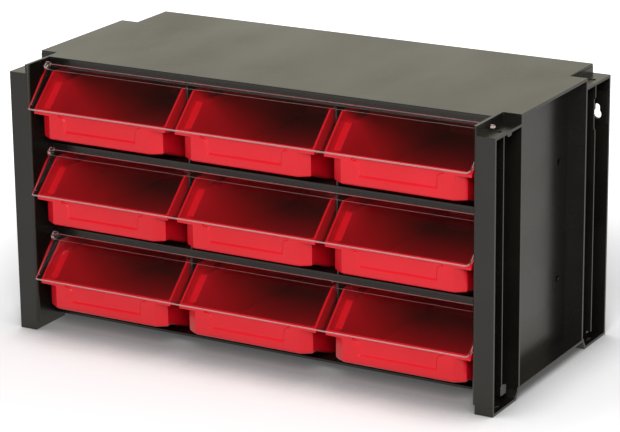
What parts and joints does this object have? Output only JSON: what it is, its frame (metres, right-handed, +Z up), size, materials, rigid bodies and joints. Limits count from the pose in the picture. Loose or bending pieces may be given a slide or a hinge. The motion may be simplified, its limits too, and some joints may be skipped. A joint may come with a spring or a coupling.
{
  "type": "wall bin cabinet",
  "caption": "Wall-mounted cabinet with rows of open-topped bins behind clear flaps that hinge up.",
  "frame": {"origin": "middle of the footprint, on the surface that the feet stand on", "axes": "+X to the right as seen from the front, +Y towards the wall behind, +Z up; the flaps and bins face -Y"},
  "size_m": [0.4, 0.196, 0.2085],
  "materials": {
    "dark_carcass": "moulded, satin",
    "red_bin": "moulded, semi-gloss",
    "clear_flap": "clear, polished"
  },
  "bodies": {
    "carcass": {"side_frame_left": "dark_carcass", "side_frame_right": "dark_carcass", "top_panel": "dark_carcass", "bottom_panel": "dark_carcass", "shelf_lower": "dark_carcass", "shelf_upper": "dark_carcass", "back_panel": "dark_carcass", "divider_bottom_left": "dark_carcass", "divider_bottom_right": "dark_carcass", "divider_middle_left": "dark_carcass", "divider_middle_right": "dark_carcass", "divider_top_left": "dark_carcass", "divider_top_right": "dark_carcass"},
    "flap_bottom": {"flap_bottom": "clear_flap"},
    "flap_middle": {"flap_middle": "clear_flap"},
    "flap_top": {"flap_top": "clear_flap"},
    "bin_bottom_left": {"bin_bottom_left": "red_bin"},
    "bin_bottom_centre": {"bin_bottom_centre": "red_bin"},
    "bin_bottom_right": {"bin_bottom_right": "red_bin"},
    "bin_middle_left": {"bin_middle_left": "red_bin"},
    "bin_middle_centre": {"bin_middle_centre": "red_bin"},
    "bin_middle_right": {"bin_middle_right": "red_bin"},
    "bin_top_left": {"bin_top_left": "red_bin"},
    "bin_top_centre": {"bin_top_centre": "red_bin"},
    "bin_top_right": {"bin_top_right": "red_bin"}
  },
  "joints": [
    {"name": "flap_bottom_hinge", "type": "hinge", "parent": "carcass", "child": "flap_bottom", "pos_m": [0, -0.0724, 0.0699], "axis": [-1, 0, 0], "range_deg": [0, 58]},
    {"name": "flap_middle_hinge", "type": "hinge", "parent": "carcass", "child": "flap_middle", "pos_m": [0, -0.0724, 0.1364], "axis": [-1, 0, 0], "range_deg": [0, 58]},
    {"name": "flap_top_hinge", "type": "hinge", "parent": "carcass", "child": "flap_top", "pos_m": [0, -0.0724, 0.2029], "axis": [-1, 0, 0], "range_deg": [0, 58]},
    {"name": "bin_bottom_left_slide", "type": "slide", "parent": "carcass", "child": "bin_bottom_left", "axis": [0, -1, 0], "range_m": [0, 0.036]},
    {"name": "bin_bottom_centre_slide", "type": "slide", "parent": "carcass", "child": "bin_bottom_centre", "axis": [0, -1, 0], "range_m": [0, 0.036]},
    {"name": "bin_bottom_right_slide", "type": "slide", "parent": "carcass", "child": "bin_bottom_right", "axis": [0, -1, 0], "range_m": [0, 0.036]},
    {"name": "bin_middle_left_slide", "type": "slide", "parent": "carcass", "child": "bin_middle_left", "axis": [0, -1, 0], "range_m": [0, 0.036]},
    {"name": "bin_middle_centre_slide", "type": "slide", "parent": "carcass", "child": "bin_middle_centre", "axis": [0, -1, 0], "range_m": [0, 0.036]},
    {"name": "bin_middle_right_slide", "type": "slide", "parent": "carcass", "child": "bin_middle_right", "axis": [0, -1, 0], "range_m": [0, 0.036]},
    {"name": "bin_top_left_slide", "type": "slide", "parent": "carcass", "child": "bin_top_left", "axis": [0, -1, 0], "range_m": [0, 0.036]},
    {"name": "bin_top_centre_slide", "type": "slide", "parent": "carcass", "child": "bin_top_centre", "axis": [0, -1, 0], "range_m": [0, 0.036]},
    {"name": "bin_top_right_slide", "type": "slide", "parent": "carcass", "child": "bin_top_right", "axis": [0, -1, 0], "range_m": [0, 0.036]}
  ],
  "couplings": [
    {"joint": "bin_bottom_left_slide", "follows": "flap_bottom_hinge", "m_per_rad": 0.0355},
    {"joint": "bin_bottom_centre_slide", "follows": "flap_bottom_hinge", "m_per_rad": 0.0355},
    {"joint": "bin_bottom_right_slide", "follows": "flap_bottom_hinge", "m_per_rad": 0.0355},
    {"joint": "bin_middle_left_slide", "follows": "flap_middle_hinge", "m_per_rad": 0.0355},
    {"joint": "bin_middle_centre_slide", "follows": "flap_middle_hinge", "m_per_rad": 0.0355},
    {"joint": "bin_middle_right_slide", "follows": "flap_middle_hinge", "m_per_rad": 0.0355},
    {"joint": "bin_top_left_slide", "follows": "flap_top_hinge", "m_per_rad": 0.0355},
    {"joint": "bin_top_centre_slide", "follows": "flap_top_hinge", "m_per_rad": 0.0355},
    {"joint": "bin_top_right_slide", "follows": "flap_top_hinge", "m_per_rad": 0.0355}
  ]
}
